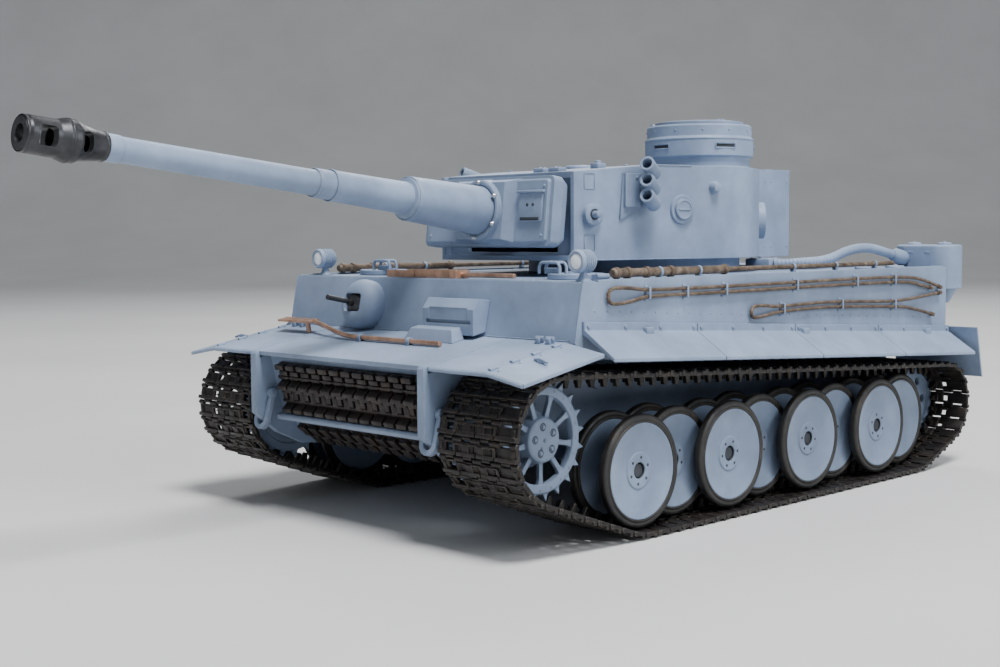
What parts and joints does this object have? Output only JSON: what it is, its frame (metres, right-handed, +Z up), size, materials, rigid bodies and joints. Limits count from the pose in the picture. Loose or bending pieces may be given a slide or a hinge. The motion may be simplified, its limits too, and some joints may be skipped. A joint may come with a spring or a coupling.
{
  "type": "radio-controlled tank",
  "caption": "Radio-controlled heavy tank with turning turret, raising gun, opening hatches, driven sprockets, interleaved road wheels and link tracks.",
  "frame": {"origin": "on the ground, in the middle of the outline seen from above, gun forward", "axes": "+Z up, -Y the way the tank faces, +X its left side"},
  "size_m": [0.2312, 0.5246, 0.1885],
  "materials": {
    "blue_grey_paint": "satin blue-grey paint with wear on edges",
    "road_wheel": "blue-grey disc with a black rubber rim",
    "track_metal": "dark brown-black, worn bright on raised edges",
    "lamp_glass": "clear, slightly frosted",
    "copper_tone": "copper-tone grips and shafts",
    "brown_cable": "brown twisted rope",
    "bare_metal": "bare machined metal",
    "black_plastic": "plain black moulding",
    "circuit_board": "green laminate",
    "gunmetal": "dark gunmetal"
  },
  "bodies": {
    "hull": {"lower_hull": "blue_grey_paint", "upper_hull": "blue_grey_paint", "glacis_and_mudguards": "blue_grey_paint", "side_skirts": "blue_grey_paint", "suspension_arms": "blue_grey_paint", "track_left": "track_metal", "track_right": "track_metal", "spare_tracks": "track_metal", "driver_visor": "blue_grey_paint", "bow_gun_mount": "blue_grey_paint", "headlights": "blue_grey_paint", "headlight_lenses": "lamp_glass", "shovel": "copper_tone", "deck_tools": "copper_tone", "tow_cables": "brown_cable", "deck_cables": "brown_cable", "air_cleaners": "blue_grey_paint", "air_hoses": "blue_grey_paint", "exhaust_mufflers": "blue_grey_paint", "drive_gearboxes": "bare_metal", "battery_pack": "black_plastic", "control_board": "circuit_board", "speaker": "black_plastic", "traverse_motor": "bare_metal"},
    "turret": {"turret_shell": "blue_grey_paint", "stowage_bin": "blue_grey_paint", "smoke_launchers": "blue_grey_paint", "cupola": "blue_grey_paint", "turret_ring_gear": "black_plastic"},
    "gun": {"gun_mantlet": "blue_grey_paint", "gun_barrel": "blue_grey_paint"},
    "pinion": {"traverse_pinion": "bare_metal"},
    "cupola_lid": {"cupola_hatch": "blue_grey_paint"},
    "loader_lid": {"loader_hatch": "blue_grey_paint"},
    "driver_lid": {"driver_hatch": "blue_grey_paint"},
    "radio_lid": {"radio_operator_hatch": "blue_grey_paint"},
    "bow_machine_gun": {"bow_gun": "gunmetal"},
    "tow_shackle_left": {"shackle_left": "blue_grey_paint"},
    "tow_shackle_right": {"shackle_right": "blue_grey_paint"},
    "switch_slider": {"power_switch": "black_plastic"},
    "sprocket_left": {"sprocket_left": "blue_grey_paint"},
    "idler_left": {"idler_left": "blue_grey_paint"},
    "wheels_left_1": {"road_wheels_left_1": "road_wheel"},
    "wheels_left_2": {"road_wheels_left_2": "road_wheel"},
    "wheels_left_3": {"road_wheels_left_3": "road_wheel"},
    "wheels_left_4": {"road_wheels_left_4": "road_wheel"},
    "wheels_left_5": {"road_wheels_left_5": "road_wheel"},
    "wheels_left_6": {"road_wheels_left_6": "road_wheel"},
    "wheels_left_7": {"road_wheels_left_7": "road_wheel"},
    "wheels_left_8": {"road_wheels_left_8": "road_wheel"},
    "sprocket_right": {"sprocket_right": "blue_grey_paint"},
    "idler_right": {"idler_right": "blue_grey_paint"},
    "wheels_right_1": {"road_wheels_right_1": "road_wheel"},
    "wheels_right_2": {"road_wheels_right_2": "road_wheel"},
    "wheels_right_3": {"road_wheels_right_3": "road_wheel"},
    "wheels_right_4": {"road_wheels_right_4": "road_wheel"},
    "wheels_right_5": {"road_wheels_right_5": "road_wheel"},
    "wheels_right_6": {"road_wheels_right_6": "road_wheel"},
    "wheels_right_7": {"road_wheels_right_7": "road_wheel"},
    "wheels_right_8": {"road_wheels_right_8": "road_wheel"}
  },
  "joints": [
    {"name": "turret_traverse", "type": "hinge", "parent": "hull", "child": "turret", "pos_m": [0, 0.08083, 0.1095], "axis": [0, 0, 1], "range_deg": [-160, 160]},
    {"name": "traverse_pinion_spin", "type": "hinge", "parent": "hull", "child": "pinion", "pos_m": [0, 0.04583, 0.1], "axis": [0, 0, 1], "range_deg": [-960, 960]},
    {"name": "gun_elevation", "type": "hinge", "parent": "turret", "child": "gun", "pos_m": [0, 0.00093, 0.137], "axis": [-1, 0, 0], "range_deg": [-9, 8.5]},
    {"name": "cupola_hatch_hinge", "type": "hinge", "parent": "turret", "child": "cupola_lid", "pos_m": [0.0006, 0.09983, 0.1868], "axis": [0, -1, 0], "range_deg": [0, 105]},
    {"name": "loader_hatch_hinge", "type": "hinge", "parent": "turret", "child": "loader_lid", "pos_m": [-0.03, 0.06323, 0.164], "axis": [1, 0, 0], "range_deg": [0, 100]},
    {"name": "driver_hatch_hinge", "type": "hinge", "parent": "hull", "child": "driver_lid", "pos_m": [0.081, -0.03617, 0.111], "axis": [0, 1, 0], "range_deg": [0, 100]},
    {"name": "radio_hatch_hinge", "type": "hinge", "parent": "hull", "child": "radio_lid", "pos_m": [-0.081, -0.03617, 0.111], "axis": [0, -1, 0], "range_deg": [0, 100]},
    {"name": "bow_gun_swing", "type": "hinge", "parent": "hull", "child": "bow_machine_gun", "pos_m": [-0.038, -0.07441, 0.09683], "axis": [0, 0.1976, 0.9803], "range_deg": [-15, 15]},
    {"name": "tow_shackle_left_swing", "type": "hinge", "parent": "hull", "child": "tow_shackle_left", "pos_m": [0.059, -0.11487, 0.0564], "axis": [-1, 0, 0], "range_deg": [0, 80]},
    {"name": "drive_left", "type": "hinge", "parent": "hull", "child": "sprocket_left", "pos_m": [0.081, -0.09297, 0.0471], "axis": [1, 0, 0], "continuous": true},
    {"name": "idler_left_spin", "type": "hinge", "parent": "hull", "child": "idler_left", "pos_m": [0.0785, 0.21995, 0.035], "axis": [1, 0, 0], "continuous": true},
    {"name": "wheels_left_1_spin", "type": "hinge", "parent": "hull", "child": "wheels_left_1", "pos_m": [0.095, -0.03817, 0.0285], "axis": [1, 0, 0], "continuous": true},
    {"name": "wheels_left_2_spin", "type": "hinge", "parent": "hull", "child": "wheels_left_2", "pos_m": [0.095, -0.00597, 0.0285], "axis": [1, 0, 0], "continuous": true},
    {"name": "wheels_left_3_spin", "type": "hinge", "parent": "hull", "child": "wheels_left_3", "pos_m": [0.095, 0.02623, 0.0285], "axis": [1, 0, 0], "continuous": true},
    {"name": "wheels_left_4_spin", "type": "hinge", "parent": "hull", "child": "wheels_left_4", "pos_m": [0.095, 0.05843, 0.0285], "axis": [1, 0, 0], "continuous": true},
    {"name": "wheels_left_5_spin", "type": "hinge", "parent": "hull", "child": "wheels_left_5", "pos_m": [0.095, 0.09063, 0.0285], "axis": [1, 0, 0], "continuous": true},
    {"name": "wheels_left_6_spin", "type": "hinge", "parent": "hull", "child": "wheels_left_6", "pos_m": [0.095, 0.12283, 0.0285], "axis": [1, 0, 0], "continuous": true},
    {"name": "wheels_left_7_spin", "type": "hinge", "parent": "hull", "child": "wheels_left_7", "pos_m": [0.095, 0.15503, 0.0285], "axis": [1, 0, 0], "continuous": true},
    {"name": "wheels_left_8_spin", "type": "hinge", "parent": "hull", "child": "wheels_left_8", "pos_m": [0.095, 0.18723, 0.0285], "axis": [1, 0, 0], "continuous": true},
    {"name": "tow_shackle_right_swing", "type": "hinge", "parent": "hull", "child": "tow_shackle_right", "pos_m": [-0.059, -0.11487, 0.0564], "axis": [-1, 0, 0], "range_deg": [0, 80]},
    {"name": "drive_right", "type": "hinge", "parent": "hull", "child": "sprocket_right", "pos_m": [-0.081, -0.09297, 0.0471], "axis": [1, 0, 0], "continuous": true},
    {"name": "idler_right_spin", "type": "hinge", "parent": "hull", "child": "idler_right", "pos_m": [-0.0785, 0.21995, 0.035], "axis": [1, 0, 0], "continuous": true},
    {"name": "wheels_right_1_spin", "type": "hinge", "parent": "hull", "child": "wheels_right_1", "pos_m": [-0.095, -0.03817, 0.0285], "axis": [1, 0, 0], "continuous": true},
    {"name": "wheels_right_2_spin", "type": "hinge", "parent": "hull", "child": "wheels_right_2", "pos_m": [-0.095, -0.00597, 0.0285], "axis": [1, 0, 0], "continuous": true},
    {"name": "wheels_right_3_spin", "type": "hinge", "parent": "hull", "child": "wheels_right_3", "pos_m": [-0.095, 0.02623, 0.0285], "axis": [1, 0, 0], "continuous": true},
    {"name": "wheels_right_4_spin", "type": "hinge", "parent": "hull", "child": "wheels_right_4", "pos_m": [-0.095, 0.05843, 0.0285], "axis": [1, 0, 0], "continuous": true},
    {"name": "wheels_right_5_spin", "type": "hinge", "parent": "hull", "child": "wheels_right_5", "pos_m": [-0.095, 0.09063, 0.0285], "axis": [1, 0, 0], "continuous": true},
    {"name": "wheels_right_6_spin", "type": "hinge", "parent": "hull", "child": "wheels_right_6", "pos_m": [-0.095, 0.12283, 0.0285], "axis": [1, 0, 0], "continuous": true},
    {"name": "wheels_right_7_spin", "type": "hinge", "parent": "hull", "child": "wheels_right_7", "pos_m": [-0.095, 0.15503, 0.0285], "axis": [1, 0, 0], "continuous": true},
    {"name": "wheels_right_8_spin", "type": "hinge", "parent": "hull", "child": "wheels_right_8", "pos_m": [-0.095, 0.18723, 0.0285], "axis": [1, 0, 0], "continuous": true},
    {"name": "power_switch_slide", "type": "slide", "parent": "hull", "child": "switch_slider", "axis": [0, 1, 0], "range_m": [0, 0.004]}
  ],
  "couplings": [
    {"joint": "traverse_pinion_spin", "follows": "turret_traverse", "ratio": 6},
    {"joint": "idler_left_spin", "follows": "drive_left", "ratio": 1.225},
    {"joint": "wheels_left_1_spin", "follows": "drive_left", "ratio": 1.06},
    {"joint": "wheels_left_2_spin", "follows": "drive_left", "ratio": 1.06},
    {"joint": "wheels_left_3_spin", "follows": "drive_left", "ratio": 1.06},
    {"joint": "wheels_left_4_spin", "follows": "drive_left", "ratio": 1.06},
    {"joint": "wheels_left_5_spin", "follows": "drive_left", "ratio": 1.06},
    {"joint": "wheels_left_6_spin", "follows": "drive_left", "ratio": 1.06},
    {"joint": "wheels_left_7_spin", "follows": "drive_left", "ratio": 1.06},
    {"joint": "wheels_left_8_spin", "follows": "drive_left", "ratio": 1.06},
    {"joint": "idler_right_spin", "follows": "drive_right", "ratio": 1.225},
    {"joint": "wheels_right_1_spin", "follows": "drive_right", "ratio": 1.06},
    {"joint": "wheels_right_2_spin", "follows": "drive_right", "ratio": 1.06},
    {"joint": "wheels_right_3_spin", "follows": "drive_right", "ratio": 1.06},
    {"joint": "wheels_right_4_spin", "follows": "drive_right", "ratio": 1.06},
    {"joint": "wheels_right_5_spin", "follows": "drive_right", "ratio": 1.06},
    {"joint": "wheels_right_6_spin", "follows": "drive_right", "ratio": 1.06},
    {"joint": "wheels_right_7_spin", "follows": "drive_right", "ratio": 1.06},
    {"joint": "wheels_right_8_spin", "follows": "drive_right", "ratio": 1.06}
  ]
}
